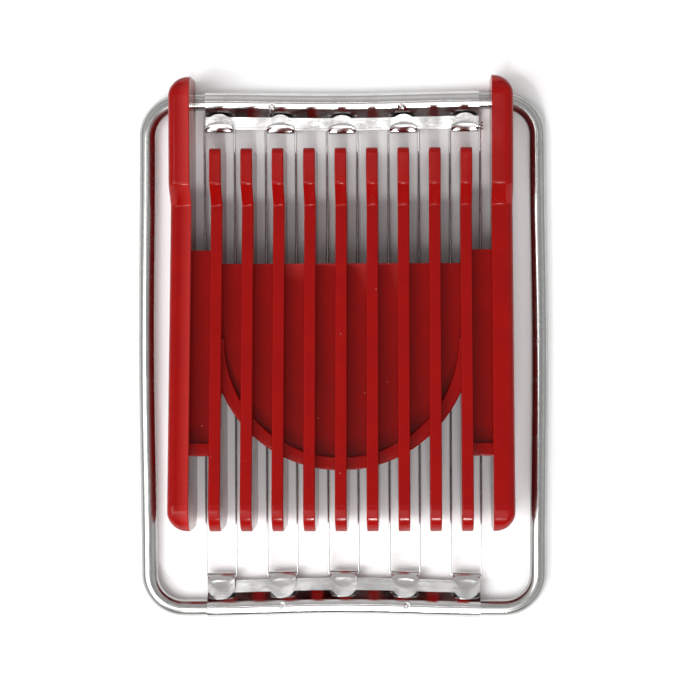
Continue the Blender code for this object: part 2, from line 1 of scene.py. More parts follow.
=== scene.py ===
"""Folding egg slicer, closed and upside down: the fine visual model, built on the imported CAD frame.

Lengths are in metres in the CAD's own frame. Every outline is drawn as (run, height): run is the distance
from the hinge axis, or from the crossbar that the piece belongs to, towards the middle of the frame, and
height is the height above the table.
"""

import json
import math

import bmesh
import bpy
from mathutils import Matrix, Vector
import numpy as np


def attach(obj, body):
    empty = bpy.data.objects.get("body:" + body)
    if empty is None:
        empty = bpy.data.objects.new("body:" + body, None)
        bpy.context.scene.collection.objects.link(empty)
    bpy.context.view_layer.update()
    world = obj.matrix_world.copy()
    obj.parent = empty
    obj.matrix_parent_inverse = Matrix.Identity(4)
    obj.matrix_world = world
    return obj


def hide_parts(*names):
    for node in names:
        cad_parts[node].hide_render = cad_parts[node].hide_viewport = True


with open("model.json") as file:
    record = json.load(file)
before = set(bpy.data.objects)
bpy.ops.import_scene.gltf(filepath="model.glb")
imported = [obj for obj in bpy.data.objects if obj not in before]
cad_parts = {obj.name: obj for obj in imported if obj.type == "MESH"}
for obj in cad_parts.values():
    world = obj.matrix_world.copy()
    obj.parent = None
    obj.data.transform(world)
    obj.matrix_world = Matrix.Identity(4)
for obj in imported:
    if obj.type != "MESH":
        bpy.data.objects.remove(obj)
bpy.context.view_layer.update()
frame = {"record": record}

HINGE = frame["record"]["behaviour"]["joints"][0]["pos_m"]
HINGE_Y, AXIS_HEIGHT = HINGE[1], HINGE[2]

# Rod frame
ROD_RADIUS = 0.00175
FRAME_LENGTH = 0.1057
FRAME_WIDTH = 0.0813
CORNER_RADIUS = 0.0072
SIDE_BOW = 0.0004
HINGE_BAR_BOW = 0.0004
GRIP_BAR_BOW = 0.0006
ROD_END_GAP = 0.002
BEND_START = FRAME_WIDTH / 2 - CORNER_RADIUS
GRIP_Y = HINGE_Y - FRAME_LENGTH

# Sleeves and tabs
SHEET = 0.0003
SLEEVE_BORE = ROD_RADIUS + 0.00008
SLEEVE_RADIUS = SLEEVE_BORE + SHEET
SLEEVE_HALF_LENGTH = 0.0285
FLANGE_ROOT = 0.003
FLANGE_EDGE = 0.0056
FLANGE_STEP = 0.00045
LAYER_OFFSET = 0.000165
SEAM_HEIGHT = AXIS_HEIGHT - 0.0003
HINGE_DIMPLES = (-0.0146, 0.0124)
GRIP_DIMPLES = (-0.0130, 0.0130)
HINGE_DIMPLE_LEAN = math.radians(28)
GRIP_DIMPLE_LEAN = math.radians(7)
DIMPLE_RADIUS = 0.0006
DIMPLE_DEPTH = 0.00028
DIMPLE_RING = 0.7
DIMPLE_RING_WIDTH = 0.24
SLEEVE_STEPS = 96
DIMPLE_STEPS = 31
CREST_START = math.radians(112)
CREST_STEPS = 40
TAB_WIDTH = 0.0057
TAB_SHEET = 0.00028
HOOK_RADIUS = 0.0006
HOOK_TURN = math.radians(62)
HINGE_TAB_FOLD = 0.0064
GRIP_TAB_FOLD = 0.0073
HINGE_TONGUE_TIP = 0.0025
GRIP_TONGUE_TIP = 0.0018
TONGUE_RISE = 0.0004
CREASE_SHARE = 0.4
HINGE_CREASE = (0.0016, 0.0003)
GRIP_CREASE = (0.0028, 0.0008)

# Wires
WIRE_RADIUS = 0.0002
WIRE_HEIGHT = SEAM_HEIGHT - LAYER_OFFSET + HOOK_RADIUS
STRAND_OFFSET = 0.00315
WIRE_CORNER = 0.0003
KNOT_TURNS = 2.2
KNOT_STEPS = 48
KNOT_START = 0.0013
KNOT_LENGTH = 0.0014

# Egg holder
RIB_COUNT = 9
RIB_PITCH = 0.0064
RIB_THICKNESS = 0.0024
RIB_START = 0.0104
RIB_EDGE = 0.0003
RAIL_INNER = 0.0308
RAIL_WIDTH = 0.0044
RAIL_OVERHANG = 0.0045
RAIL_PLAN_RADIUS = 0.0042
RAIL_OUTER_EDGE = 0.0016
RAIL_RIM_EDGE = 0.0008
RAIL_INNER_EDGE = 0.0003
HOLDER_REACH = 0.0885
HEEL_HEIGHT = 0.0150
HEEL_END = 0.0177
DIP_START = 0.0219
DIP_HEIGHT = 0.0104
NOSE_HEIGHT = 0.0221
NOSE_RADIUS = 0.0050
RAIL_END_RADIUS = 0.0040
RIM_NOSE_RADIUS = 0.0045
BEND_RADIUS = 0.0012
DIP_RADIUS = 0.0007
SEAT_RADIUS = 0.00205
SEAT_MOUTH = 0.0030
SEAT_CUTTER_LENGTH = 0.12
PLATE_ANGLE = math.radians(7.5)
PLATE_START = 0.0339
PLATE_SIDE_START = 0.0311
PLATE_RIM_HEIGHT = 0.0072
PLATE_THICKNESS = 0.0020
WALL_PROUD = 0.0018
WALL_THICKNESS = 0.0027
WALL_EDGE = 0.00035
ARC_CENTRE = 0.0494
ARC_RADIUS = 0.0267
SIDE_WALL_END = 0.0732
JOIN_OVERLAP = 0.0004
RIB_OVERLAP = 0.0009
CUP_CENTRE = 0.0530
CUP_DEPTH = 0.0080
CUP_ROUND_RADIUS = 0.0230
CUP_LONG_RADIUS = 0.0310
OUTER_RIB = RIB_PITCH * (RIB_COUNT - 1) / 2
TAB_PITCH = 2 * RIB_PITCH
TAB_CENTRES = [TAB_PITCH * (i - 2) for i in range(5)]

ARC_STEP = math.radians(7.5)

CAMERA_PLACE = (0.0150, 0.0072, 0.500)
CAMERA_TURN = (-0.0149, 0.0271, -0.0038)

pieces = bpy.data.collections.new("egg_slicer_visual")
bpy.context.scene.collection.children.link(pieces)
helpers = bpy.data.collections.new("helpers")
bpy.context.scene.collection.children.link(helpers)


class Bar:
    """One crossbar: its place, which way the middle of the frame lies, its bow and its sleeve's details."""

    def __init__(self, y, inward, bow, fold, dimples, lean, tip, crease):
        self.y = y
        self.inward = inward
        self.bow = bow
        self.fold = fold
        self.dimples = dimples
        self.lean = lean
        self.tip = tip
        self.crease_middle, self.crease_side = crease

    def bow_at(self, x):
        if abs(x) >= RAIL_INNER:
            return 0.0
        return self.bow * math.cos(math.pi * x / (2 * RAIL_INNER)) ** 2

    def point(self, x, run, height):
        return Vector((x, self.y + self.inward * (run + self.bow_at(x)), height))


HINGE_BAR = Bar(
    y=HINGE_Y,
    inward=-1,
    bow=HINGE_BAR_BOW,
    fold=HINGE_TAB_FOLD,
    dimples=HINGE_DIMPLES,
    lean=HINGE_DIMPLE_LEAN,
    tip=HINGE_TONGUE_TIP,
    crease=HINGE_CREASE,
)
GRIP_BAR = Bar(
    y=GRIP_Y,
    inward=1,
    bow=GRIP_BAR_BOW,
    fold=GRIP_TAB_FOLD,
    dimples=GRIP_DIMPLES,
    lean=GRIP_DIMPLE_LEAN,
    tip=GRIP_TONGUE_TIP,
    crease=GRIP_CREASE,
)


# Shape helpers


def quarter(steps):
    return np.linspace(0, math.pi / 2, steps + 1)


def arc(centre, radius, start, end):
    steps = max(2, math.ceil(abs(end - start) / ARC_STEP))
    angles = np.linspace(start, end, steps + 1)
    return [(centre[0] + radius * math.cos(a), centre[1] + radius * math.sin(a)) for a in angles]


def rounded(corners):
    """Corners as (x, y, radius), each with a radius above zero turned into an arc."""
    points = []
    count = len(corners)
    for i, (x, y, radius) in enumerate(corners):
        here = Vector((x, y))
        if radius <= 0:
            points.append((x, y))
            continue
        back = (Vector(corners[i - 1][:2]) - here).normalized()
        ahead = (Vector(corners[(i + 1) % count][:2]) - here).normalized()
        half = back.angle(ahead) / 2
        centre = here + (back + ahead).normalized() * radius / math.sin(half)
        start = here + back * radius / math.tan(half) - centre
        end = here + ahead * radius / math.tan(half) - centre
        first = math.atan2(start.y, start.x)
        turn = (math.atan2(end.y, end.x) - first + math.pi) % (2 * math.pi) - math.pi
        points += arc(centre, radius, first, first + turn)
    return points


def offset_path(path, distance):
    """The path moved sideways to its left, with mitred corners."""
    points = [Vector(p) for p in path]
    moved = []
    for i, point in enumerate(points):
        before = (point - points[i - 1]).normalized() if i else None
        after = (points[i + 1] - point).normalized() if i + 1 < len(points) else None
        before = before or after
        after = after or before
        left_before = Vector((-before.y, before.x))
        left_after = Vector((-after.y, after.x))
        mitre = (left_before + left_after).normalized()
        moved.append(point + mitre * distance / mitre.dot(left_after))
    return moved


def mesh_from(name, body, collection=None):
    bmesh.ops.recalc_face_normals(body, faces=body.faces)
    mesh = bpy.data.meshes.new(name)
    body.to_mesh(mesh)
    body.free()
    obj = bpy.data.objects.new(name, mesh)
    (collection or pieces).objects.link(obj)
    return obj


def skin(body, rings, closed_across, closed_along=False):
    """Joins a row of rings of points with quads, and returns the rings of vertices."""
    loops = [[body.verts.new(p) for p in ring] for ring in rings]
    pairs = list(zip(loops, loops[1:]))
    if closed_along:
        pairs.append((loops[-1], loops[0]))
    for first, second in pairs:
        count = len(first)
        for i in range(count if closed_across else count - 1):
            j = (i + 1) % count
            body.faces.new((first[i], first[j], second[j], second[i]))
    return loops


def loft(name, rings, collection=None):
    """A closed body through a row of closed rings."""
    body = bmesh.new()
    loops = skin(body, rings, True)
    body.faces.new(loops[0])
    body.faces.new(loops[-1])
    return mesh_from(name, body, collection)


def tube_rings(path, radius, sides, closed):
    """Round sections along a level path, turned to face along it."""
    points = [Vector(p) for p in path]
    count = len(points)
    up = Vector((0, 0, 1))
    rings = []
    for i, point in enumerate(points):
        before = points[i - 1] if i or closed else point
        after = points[(i + 1) % count] if i + 1 < count or closed else point
        along = (after - before).normalized()
        side = along.cross(up).normalized()
        rise = side.cross(along).normalized()
        turns = [2 * math.pi * k / sides for k in range(sides)]
        rings.append([point + (side * math.cos(a) + rise * math.sin(a)) * radius for a in turns])
    return rings


def lengths_along(path):
    run = [0.0]
    for a, b in zip(path, path[1:]):
        run.append(run[-1] + (Vector(b) - Vector(a)).length)
    return run


def lay_attribute(obj, values):
    """Stores each vertex's place as if the drawn metal were straight, for the marks along it."""
    made = obj.data.attributes.new("lay", "FLOAT_VECTOR", "POINT")
    made.data.foreach_set("vector", np.array(values, np.float32).ravel())


def tube(name, path, radius, sides, closed):
    body = bmesh.new()
    rings = tube_rings(path, radius, sides, closed)
    loops = skin(body, rings, True, closed)
    if not closed:
        body.faces.new(loops[0])
        body.faces.new(loops[-1])
    obj = mesh_from(name, body)
    turns = [2 * math.pi * k / sides for k in range(sides)]
    lay = []
    for run in lengths_along(path):
        lay += [(run, radius * math.cos(a), radius * math.sin(a)) for a in turns]
    lay_attribute(obj, lay)
    return obj


def smooth(obj, angle=35):
    obj.data.shade_smooth()
    obj.data.set_sharp_from_angle(angle=math.radians(angle))


def evaluated_mesh(obj):
    bpy.context.view_layer.update()
    graph = bpy.context.evaluated_depsgraph_get()
    return bpy.data.meshes.new_from_object(obj.evaluated_get(graph))


def apply_modifiers(obj):
    mesh = evaluated_mesh(obj)
    obj.modifiers.clear()
    obj.data = mesh


def place(obj, body, slot, surface, *nodes):
    """A finished piece: its material, the body it rides on and the CAD nodes it stands for, which are
    hidden; the slot argument is not used.
    """
    obj.data.materials.clear()
    obj.data.materials.append(surface)
    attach(obj, body)
    if nodes:
        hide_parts(*nodes)


# Rods


def rod_path(side):
    def crossbar(bar):
        xs = np.linspace(ROD_END_GAP / 2, BEND_START, 40)
        return [bar.point(side * x, 0, AXIS_HEIGHT) for x in xs]

    def corner(bar):
        turned = []
        for a in quarter(16)[1:]:
            x = side * (BEND_START + CORNER_RADIUS * math.sin(a))
            y = bar.y + bar.inward * CORNER_RADIUS * (1 - math.cos(a))
            turned.append(Vector((x, y, AXIS_HEIGHT)))
        return turned

    reach = FRAME_LENGTH / 2 - CORNER_RADIUS
    middle = (HINGE_Y + GRIP_Y) / 2
    straight = []
    for v in np.linspace(reach, -reach, 41)[1:-1]:
        bow = SIDE_BOW * math.cos(math.pi * v / (2 * reach)) ** 2
        straight.append(Vector((side * (FRAME_WIDTH / 2 + bow), middle + v, AXIS_HEIGHT)))
    far = crossbar(GRIP_BAR) + corner(GRIP_BAR)
    return crossbar(HINGE_BAR) + corner(HINGE_BAR) + straight + far[::-1]


# Sleeves


def sleeve_path():
    """The middle of the sheet, from the edge of the lower layer round the rod to that of the upper."""
    centre = Vector((0, AXIS_HEIGHT))
    radius = SLEEVE_BORE + SHEET / 2
    lower = SEAM_HEIGHT - LAYER_OFFSET
    upper = SEAM_HEIGHT + LAYER_OFFSET
    ends = []
    for height, way in ((lower, -1), (upper, 1)):
        root = Vector((FLANGE_ROOT, height)) - centre
        lean = math.atan2(root.y, root.x)
        ends.append(lean + way * math.acos(radius / root.length))
    wrap = arc(centre, radius, ends[0], CREST_START - 2 * math.pi)
    for a in np.linspace(CREST_START, ends[1], CREST_STEPS)[1:]:
        wrap.append((centre.x + radius * math.cos(a), centre.y + radius * math.sin(a)))
    flat = np.linspace(FLANGE_ROOT, FLANGE_EDGE, 7)
    short = np.linspace(FLANGE_ROOT, FLANGE_EDGE - FLANGE_STEP, 7)
    return [(run, lower) for run in flat[::-1]] + wrap + [(run, upper) for run in short]


def sleeve_stations(bar):
    stations = set(np.linspace(-SLEEVE_HALF_LENGTH, SLEEVE_HALF_LENGTH, SLEEVE_STEPS))
    for x in bar.dimples:
        stations |= set(np.linspace(x - 1.5 * DIMPLE_RADIUS, x + 1.5 * DIMPLE_RADIUS, DIMPLE_STEPS))
    return sorted(stations)


def dent(bar, x, run, height):
    """How far the sheet is pressed in at a point: a ring-shaped punch mark over each rod."""
    turned = math.atan2(run, height - AXIS_HEIGHT) - bar.lean
    push = 0.0
    for centre in bar.dimples:
        away = math.hypot(x - centre, turned * SLEEVE_RADIUS) / DIMPLE_RADIUS
        if away < 2:
            push += DIMPLE_DEPTH * math.exp(-(((away - DIMPLE_RING) / DIMPLE_RING_WIDTH) ** 2))
    return push


def flange_wave(bar, x):
    """The pressed sheet isn't quite flat along its edge."""
    return 0.00002 * math.sin(210 * x + bar.y * 40) + 0.00001 * math.sin(520 * x + 1)


def sleeve_sheet(name, bar):
    path = sleeve_path()
    outline = offset_path(path, SHEET / 2) + offset_path(path, -SHEET / 2)[::-1]
    rings = []
    for x in sleeve_stations(bar):
        ring = []
        for run, height in outline:
            reach = math.hypot(run, height - AXIS_HEIGHT)
            if reach > SLEEVE_BORE + SHEET * 0.6 and run < FLANGE_ROOT * 0.6:
                push = dent(bar, x, run, height)
                run -= push * run / reach
                height -= push * (height - AXIS_HEIGHT) / reach
            out = max(0, (run - FLANGE_ROOT) / (FLANGE_EDGE - FLANGE_ROOT))
            ring.append(bar.point(x, run, height + out * flange_wave(bar, x)))
        rings.append(ring)
    body = loft(name, rings)
    smooth(body)
    return body


def tab_surface(bar, x, count=22):
    """Rows of points over the middle of a tab's sheet, from under the flange round the hook to the tip."""
    lower = SEAM_HEIGHT - LAYER_OFFSET
    hook = (bar.fold - HOOK_RADIUS - TAB_SHEET / 2, WIRE_HEIGHT)
    turn = arc(hook, HOOK_RADIUS, -math.pi / 2, HOOK_TURN)
    end_run, end_height = turn[-1]
    rise = WIRE_HEIGHT + HOOK_RADIUS + TONGUE_RISE - end_height
    half = TAB_WIDTH / 2
    across = np.linspace(-half, half, count + 1)

    def tongue(run, offset):
        reach = bar.crease_side + (bar.crease_middle - bar.crease_side) * (1 - (offset / half) ** 2)
        into = min(max(1 - (end_run - run) / reach, 0), 1)
        bend = max(1, (reach / math.tan(HOOK_TURN) / rise - CREASE_SHARE) / (1 - CREASE_SHARE))
        drop = CREASE_SHARE * into + (1 - CREASE_SHARE) * into**bend
        return end_height + rise * (1 - drop)

    rows = []
    for run in np.linspace(FLANGE_EDGE - 3 * FLANGE_STEP, hook[0], 4)[:-1]:
        rows.append([bar.point(x + v, run, lower) for v in across])
    for run, height in turn:
        rows.append([bar.point(x + v, run, height) for v in across])
    round_start = bar.tip + half
    runs = list(np.linspace(end_run, round_start, 28)[1:])
    runs += [round_start - half * math.sin(a) for a in quarter(12)[1:]]
    for run in runs:
        into = round_start - run
        width = math.sqrt(max(half**2 - max(into, 0) ** 2, 0)) / half
        width = max(width, 0.02)
        rows.append([bar.point(x + v * width, run, tongue(run, v * width)) for v in across])
    return rows


def tab(name, bar, x):
    body = bmesh.new()
    skin(body, tab_surface(bar, x), False)
    obj = mesh_from(name, body)
    solidify = obj.modifiers.new("sheet", "SOLIDIFY")
    solidify.thickness = TAB_SHEET
    solidify.offset = 0
    apply_modifiers(obj)
    smooth(obj, 30)
    return obj


def sleeve(name, bar):
    """The folded sheet with its five tabs, as one object."""
    sheet = sleeve_sheet(name, bar)
    for i, x in enumerate(TAB_CENTRES):
        sheet = join(sheet, tab(f"{name}_tab_{i}", bar, x))
    return sheet


def join(obj, other):
    body = bmesh.new()
    body.from_mesh(obj.data)
    body.from_mesh(other.data)
    body.to_mesh(obj.data)
    body.free()
    bpy.data.objects.remove(other, do_unlink=True)
    return obj


# Wires


def wire_path(x):
    def end(bar):
        run = bar.fold - HOOK_RADIUS - TAB_SHEET / 2
        straight = STRAND_OFFSET - WIRE_CORNER
        rim = []
        for a in quarter(5):
            rim.append((straight + WIRE_CORNER * math.cos(a), run + WIRE_CORNER * (1 - math.sin(a))))
        left = [bar.point(x - across, along, WIRE_HEIGHT) for across, along in rim]
        right = [bar.point(x + across, along, WIRE_HEIGHT) for across, along in rim[::-1]]
        return left + right

    return end(HINGE_BAR) + end(GRIP_BAR)[::-1]


def wire_knot():
    """The twisted-off end of the last loop, two turns round its outer strand."""
    x = TAB_CENTRES[-1] + STRAND_OFFSET
    path = []
    for k in range(KNOT_STEPS + 1):
        a = 2 * math.pi * KNOT_TURNS * k / KNOT_STEPS
        run = HINGE_TAB_FOLD - HOOK_RADIUS - KNOT_START + KNOT_LENGTH * k / KNOT_STEPS
        out = 2.2 * WIRE_RADIUS
        path.append(HINGE_BAR.point(x + out * math.cos(a), run, WIRE_HEIGHT + out * math.sin(a)))
    curve = bpy.data.curves.new("wire_knot", "CURVE")
    curve.dimensions = "3D"
    curve.bevel_depth = 0.85 * WIRE_RADIUS
    curve.bevel_resolution = 3
    curve.use_fill_caps = True
    spline = curve.splines.new("POLY")
    spline.points.add(len(path) - 1)
    for point, at in zip(spline.points, path):
        point.co = (*at, 1)
    obj = bpy.data.objects.new("wire_knot", curve)
    helpers.objects.link(obj)
    mesh = evaluated_mesh(obj)
    bpy.data.objects.remove(obj, do_unlink=True)
    knot = bpy.data.objects.new("wire_knot", mesh)
    pieces.objects.link(knot)
    smooth(knot, 40)
    return knot


# Egg holder


def flat_slab(name, outline, thickness, edge):
    """A closed flat outline, extruded about its own plane, with its edges rounded by the given radius."""
    curve = bpy.data.curves.new(name, "CURVE")
    curve.dimensions = "2D"
    curve.fill_mode = "BOTH"
    curve.extrude = thickness / 2 - edge
    curve.bevel_depth = edge
    curve.bevel_resolution = 2
    curve.offset = -edge
    spline = curve.splines.new("POLY")
    spline.points.add(len(outline) - 1)
    for point, (x, y) in zip(spline.points, outline):
        point.co = (x, y, 0, 1)
    spline.use_cyclic_u = True
    obj = bpy.data.objects.new(name, curve)
    helpers.objects.link(obj)
    mesh = evaluated_mesh(obj)
    bpy.data.objects.remove(obj, do_unlink=True)
    body = bmesh.new()
    body.from_mesh(mesh)
    bmesh.ops.remove_doubles(body, verts=body.verts, dist=1e-6)
    return mesh_from(name, body, helpers)


def underside_corners(start):
    return [
        (start, HEEL_HEIGHT, BEND_RADIUS),
        (HEEL_END, HEEL_HEIGHT, BEND_RADIUS),
        (DIP_START, DIP_HEIGHT, DIP_RADIUS),
        (HOLDER_REACH, NOSE_HEIGHT, NOSE_RADIUS),
    ]


def cup_arc(x):
    reach = 1 - (x / CUP_LONG_RADIUS) ** 2
    centre_height = CUP_DEPTH - CUP_ROUND_RADIUS
    if reach <= 0:
        return []
    radius = CUP_ROUND_RADIUS * math.sqrt(reach)
    if radius <= -centre_height + RIB_EDGE:
        return []
    edge = math.asin(-centre_height / radius)
    return arc((CUP_CENTRE, centre_height), radius, edge, math.pi - edge)


def rib(name, x):
    rim = [(HOLDER_REACH, 0, RIM_NOSE_RADIUS)]
    rim += [(run, height, 0) for run, height in cup_arc(x)]
    rim.append((RIB_START, 0, BEND_RADIUS))
    outline = rounded(underside_corners(RIB_START) + rim)
    obj = flat_slab(name, outline, RIB_THICKNESS, RIB_EDGE)
    across = Matrix(((0, 0, -1), (-1, 0, 0), (0, 1, 0))).to_4x4()
    obj.data.transform(Matrix.Translation((x, HINGE_Y, 0)) @ across)
    return obj


def rail_edges():
    start = -RAIL_OVERHANG
    corners = underside_corners(start)
    corners[0] = (start, HEEL_HEIGHT, RAIL_END_RADIUS)
    corners += [(HOLDER_REACH, 0, RIM_NOSE_RADIUS), (start, 0, BEND_RADIUS)]
    outline = rounded(corners)
    split = [i for i, p in enumerate(outline) if abs(p[0] - HOLDER_REACH) < 1e-7]
    return outline[: split[0] + 1], outline[split[-1] :][::-1]


def rail_ring(side, run, low, high):
    into = min(run + RAIL_OVERHANG, HOLDER_REACH - run)
    into = min(max(into, 0), RAIL_PLAN_RADIUS)
    width = RAIL_WIDTH - RAIL_PLAN_RADIUS + math.sqrt(RAIL_PLAN_RADIUS**2 - (RAIL_PLAN_RADIUS - into) ** 2)
    limit = min(width, high - low) * 0.45
    top = min(RAIL_OUTER_EDGE, limit)
    foot = min(RAIL_RIM_EDGE, limit)
    inner = min(RAIL_INNER_EDGE, limit)
    outer = RAIL_INNER + width
    section = []
    for a in quarter(3):
        section.append((RAIL_INNER + inner * (1 - math.cos(a)), high - inner * (1 - math.sin(a))))
    for a in quarter(8)[::-1]:
        section.append((outer - top + top * math.cos(a), high - top + top * math.sin(a)))
    for a in quarter(5)[::-1]:
        section.append((outer - foot + foot * math.sin(a), low + foot - foot * math.cos(a)))
    for a in quarter(3)[::-1]:
        section.append((RAIL_INNER + inner * (1 - math.cos(a)), low + inner * (1 - math.sin(a))))
    return [Vector((side * x, HINGE_Y - run, height)) for x, height in section]


def rail(name, side):
    upper, lower = rail_edges()
    runs = [run for run, _ in upper + lower]
    for a in quarter(14):
        into = RAIL_PLAN_RADIUS * (1 - math.cos(a))
        runs += [into - RAIL_OVERHANG, HOLDER_REACH - into]
    kept = []
    for run in sorted(runs):
        if not kept or run - kept[-1] > 0.00003:
            kept.append(run)
    kept[-1] = HOLDER_REACH
    rings = []
    for run in kept:
        high = np.interp(run, *zip(*upper))
        low = np.interp(run, *zip(*lower))
        if run == -RAIL_OVERHANG:
            high, low = upper[0][1], lower[0][1]
        if run == HOLDER_REACH:
            high, low = upper[-1][1], lower[-1][1]
        rings.append(rail_ring(side, run, low, high))
    return loft(name, rings, helpers)


def arc_edge(radius, steps=64):
    half = math.asin(OUTER_RIB / radius)
    angles = np.linspace(half, -half, steps + 1)
    return [(radius * math.sin(a), ARC_CENTRE + radius * math.cos(a)) for a in angles]


def plate_outline():
    side = RAIL_INNER + JOIN_OVERLAP
    right = [
        (OUTER_RIB, PLATE_START),
        (OUTER_RIB, PLATE_SIDE_START),
        (side, PLATE_SIDE_START),
        (side, SIDE_WALL_END),
        (OUTER_RIB, SIDE_WALL_END),
    ]
    left = [(-x, run) for x, run in right[::-1]]
    return right + arc_edge(ARC_RADIUS) + left


def wall_outline():
    side = RAIL_INNER + JOIN_OVERLAP
    inner = ARC_RADIUS - WALL_THICKNESS
    angles = np.linspace(-math.pi / 2, math.pi / 2, 65)
    back = [(inner * math.sin(a), ARC_CENTRE + inner * math.cos(a)) for a in angles]
    far = OUTER_RIB + RIB_OVERLAP
    near = OUTER_RIB - RIB_OVERLAP
    straight = [
        (far, back[-1][1]),
        (far, SIDE_WALL_END - WALL_THICKNESS),
        (side, SIDE_WALL_END - WALL_THICKNESS),
        (side, SIDE_WALL_END),
        (near, SIDE_WALL_END),
    ]
    mirrored = [(-x, run) for x, run in straight[::-1]]
    outer = [p for p in arc_edge(ARC_RADIUS) if abs(p[0]) < near]
    return back + straight + outer + mirrored


def sloping_slab(name, outline, low, thickness, edge):
    obj = flat_slab(name, outline, thickness, edge)
    slope = math.tan(PLATE_ANGLE)
    for vertex in obj.data.vertices:
        x, run, rise = vertex.co
        height = low + thickness / 2 + rise + (run - PLATE_START) * slope
        vertex.co = (x, HINGE_Y - run, height)
    obj.data.flip_normals()
    return obj


def seat_cutters():
    body = bmesh.new()
    bmesh.ops.create_cone(
        body,
        cap_ends=True,
        segments=64,
        radius1=SEAT_RADIUS,
        radius2=SEAT_RADIUS,
        depth=SEAT_CUTTER_LENGTH,
    )
    bore = mesh_from("seat_bore", body, helpers)
    across = Matrix.Rotation(math.pi / 2, 4, "Y")
    bore.data.transform(Matrix.Translation((0, HINGE_Y, AXIS_HEIGHT)) @ across)
    body = bmesh.new()
    bmesh.ops.create_cube(body, size=1)
    mouth = mesh_from("seat_mouth", body, helpers)
    size = Matrix.Diagonal((SEAT_CUTTER_LENGTH, SEAT_MOUTH, 2 * AXIS_HEIGHT, 1))
    mouth.data.transform(Matrix.Translation((0, HINGE_Y, 0)) @ size)
    return [bore, mouth]


def boolean(obj, other, operation):
    cut = obj.modifiers.new(other.name, "BOOLEAN")
    cut.solver = "MANIFOLD"
    cut.operation = operation
    cut.object = other


def egg_holder():
    holder = rail("egg_holder_moulding", -1)
    others = [sloping_slab("plate", plate_outline(), PLATE_RIM_HEIGHT, PLATE_THICKNESS, 0)]
    low = PLATE_RIM_HEIGHT + PLATE_THICKNESS / 2
    height = PLATE_THICKNESS / 2 + WALL_PROUD
    others.append(rail("right_rail", 1))
    others.append(sloping_slab("wall", wall_outline(), low, height, WALL_EDGE))
    for i in range(RIB_COUNT):
        others.append(rib(f"rib_{i}", RIB_PITCH * (i - (RIB_COUNT - 1) / 2)))
    for other in others:
        boolean(holder, other, "UNION")
    cutters = seat_cutters()
    for cutter in cutters:
        boolean(holder, cutter, "DIFFERENCE")
    apply_modifiers(holder)
    for other in others + cutters:
        bpy.data.objects.remove(other, do_unlink=True)
    helpers.objects.unlink(holder)
    pieces.objects.link(holder)
    smooth(holder, 40)
    weighted = holder.modifiers.new("even_shading", "WEIGHTED_NORMAL")
    weighted.keep_sharp = True
    weighted.weight = 80
    apply_modifiers(holder)
    return holder


# Materials

ROD_TONES = ((0.41, 0.41, 0.40), (0.36, 0.36, 0.35))
SLEEVE_TONES = ((0.60, 0.59, 0.58), (0.52, 0.51, 0.50))
WIRE_TONES = ((0.58, 0.58, 0.57), (0.50, 0.50, 0.49))
DRAWN_MARKS = (250, 9000, 9000)
ROLLED_MARKS = (400, 6000, 6000)
RED_TONES = ((0.226, 0.0024, 0.0017), (0.202, 0.0020, 0.0015))
# Paler red laid on convex edges: a painted highlight, not wear
PAINTED_EDGE_HIGHLIGHT = (0.50, 0.045, 0.04, 1)
DUST = (0.5, 0.35, 0.32, 1)
FLOOR_TONES = ((0.86, 0.86, 0.86), (0.88, 0.88, 0.88))
# Where a mix node that is set to colours has its factor and its two colours, and where it gives the result
MIX_FACTOR, MIX_FIRST, MIX_SECOND = 0, 6, 7
MIX_RESULT = 2


class Nodes:
    """Short ways to add and link shader nodes."""

    def __init__(self, name):
        self.material = bpy.data.materials.new(name)
        self.material.use_nodes = True
        self.tree = self.material.node_tree
        self.shader = self.tree.nodes["Principled BSDF"]

    def add(self, kind, **settings):
        node = self.tree.nodes.new(kind)
        for key, value in settings.items():
            if key in node.inputs:
                node.inputs[key].default_value = value
            else:
                setattr(node, key, value)
        return node

    def link(self, source, output, target, entry):
        self.tree.links.new(source.outputs[output], target.inputs[entry])

    def coordinates(self, scale, attribute=None):
        if attribute:
            source = self.add("ShaderNodeAttribute", attribute_name=attribute)
            output = "Vector"
        else:
            source = self.add("ShaderNodeTexCoord")
            output = "Object"
        mapping = self.add("ShaderNodeMapping", Scale=scale)
        self.link(source, output, mapping, "Vector")
        return mapping

    def noise(self, scale, detail=3, roughness=0.55, stretch=(1, 1, 1), attribute=None):
        at = self.coordinates([scale * s for s in stretch], attribute)
        node = self.add("ShaderNodeTexNoise", Scale=1.0, Detail=detail, Roughness=roughness)
        self.link(at, "Vector", node, "Vector")
        return node

    def ramp(self, source, output, low, high, start=0.35, end=0.65):
        node = self.add("ShaderNodeMapRange")
        node.inputs["From Min"].default_value = start
        node.inputs["From Max"].default_value = end
        node.inputs["To Min"].default_value = low
        node.inputs["To Max"].default_value = high
        self.link(source, output, node, "Value")
        return node

    def mix(self, factor, output, first, second):
        node = self.add("ShaderNodeMix", data_type="RGBA")
        node.inputs[MIX_FIRST].default_value = (*first, 1)
        node.inputs[MIX_SECOND].default_value = (*second, 1)
        self.link(factor, output, node, MIX_FACTOR)
        return node

    def bump(self, source, output, strength, distance, before=None):
        node = self.add("ShaderNodeBump", Strength=strength, Distance=distance)
        self.link(source, output, node, "Height")
        if before:
            self.link(before, "Normal", node, "Normal")
        return node


